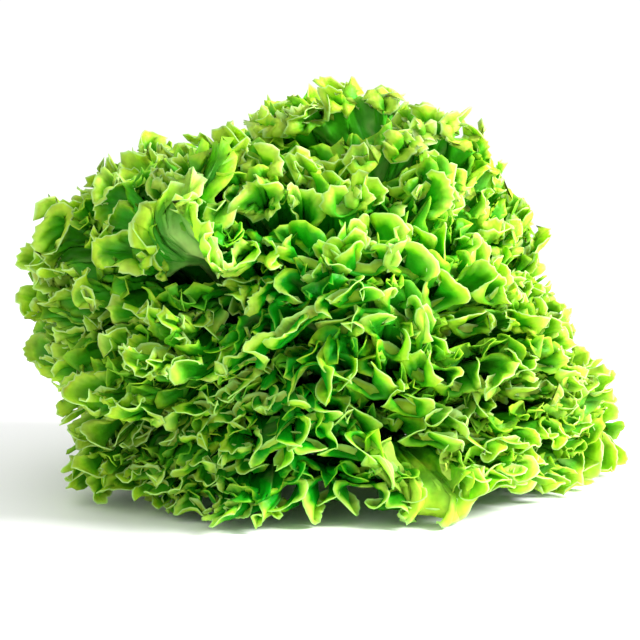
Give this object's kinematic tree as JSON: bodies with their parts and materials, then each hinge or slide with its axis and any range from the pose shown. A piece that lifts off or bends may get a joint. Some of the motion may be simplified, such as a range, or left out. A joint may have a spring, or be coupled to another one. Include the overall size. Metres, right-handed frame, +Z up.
{
  "type": "lollo bionda lettuce",
  "caption": "Whole loose head of frilled green lettuce: wavy-edged leaves spiral from a short cut stem and stand in layers as a lopsided dome.",
  "frame": {"origin": "centre of the stem's flat cut base, on the surface the head stands on", "axes": "+X along the head's widest side (to the right in the picture), +Z up through the heart; the picture looks along +Y"},
  "size_m": [0.2806, 0.2702, 0.1882],
  "materials": {
    "leaf_heart": "pale yellow-green young leaf, slightly waxy",
    "leaf_middle": "bright green leaf, paler at the frilled edge, slightly waxy",
    "leaf_outer": "mid green outer leaf, paler at the frilled edge, slightly waxy",
    "stem": "pale cream-green stem with a dull cut face"
  },
  "bodies": {
    "root": {"leaf_01": "leaf_heart", "leaf_02": "leaf_heart", "leaf_03": "leaf_heart", "leaf_04": "leaf_heart", "leaf_05": "leaf_heart", "leaf_06": "leaf_heart", "leaf_07": "leaf_middle", "leaf_08": "leaf_middle", "leaf_09": "leaf_middle", "leaf_10": "leaf_middle", "leaf_11": "leaf_middle", "leaf_12": "leaf_middle", "leaf_13": "leaf_middle", "leaf_14": "leaf_middle", "leaf_15": "leaf_middle", "leaf_16": "leaf_middle", "leaf_17": "leaf_middle", "leaf_18": "leaf_middle", "leaf_19": "leaf_middle", "leaf_20": "leaf_middle", "leaf_21": "leaf_middle", "leaf_22": "leaf_middle", "leaf_23": "leaf_middle", "leaf_24": "leaf_middle", "leaf_25": "leaf_middle", "leaf_26": "leaf_outer", "leaf_27": "leaf_outer", "leaf_28": "leaf_outer", "leaf_29": "leaf_outer", "leaf_30": "leaf_outer", "leaf_31": "leaf_outer", "leaf_32": "leaf_outer", "leaf_33": "leaf_outer", "leaf_34": "leaf_outer", "leaf_35": "leaf_outer", "leaf_36": "leaf_outer", "leaf_37": "leaf_outer", "leaf_38": "leaf_outer", "leaf_39": "leaf_outer", "leaf_40": "leaf_outer", "leaf_41": "leaf_outer", "leaf_42": "leaf_outer", "leaf_43": "leaf_outer", "leaf_44": "leaf_outer", "leaf_45": "leaf_outer", "stem": "stem"}
  },
  "joints": []
}
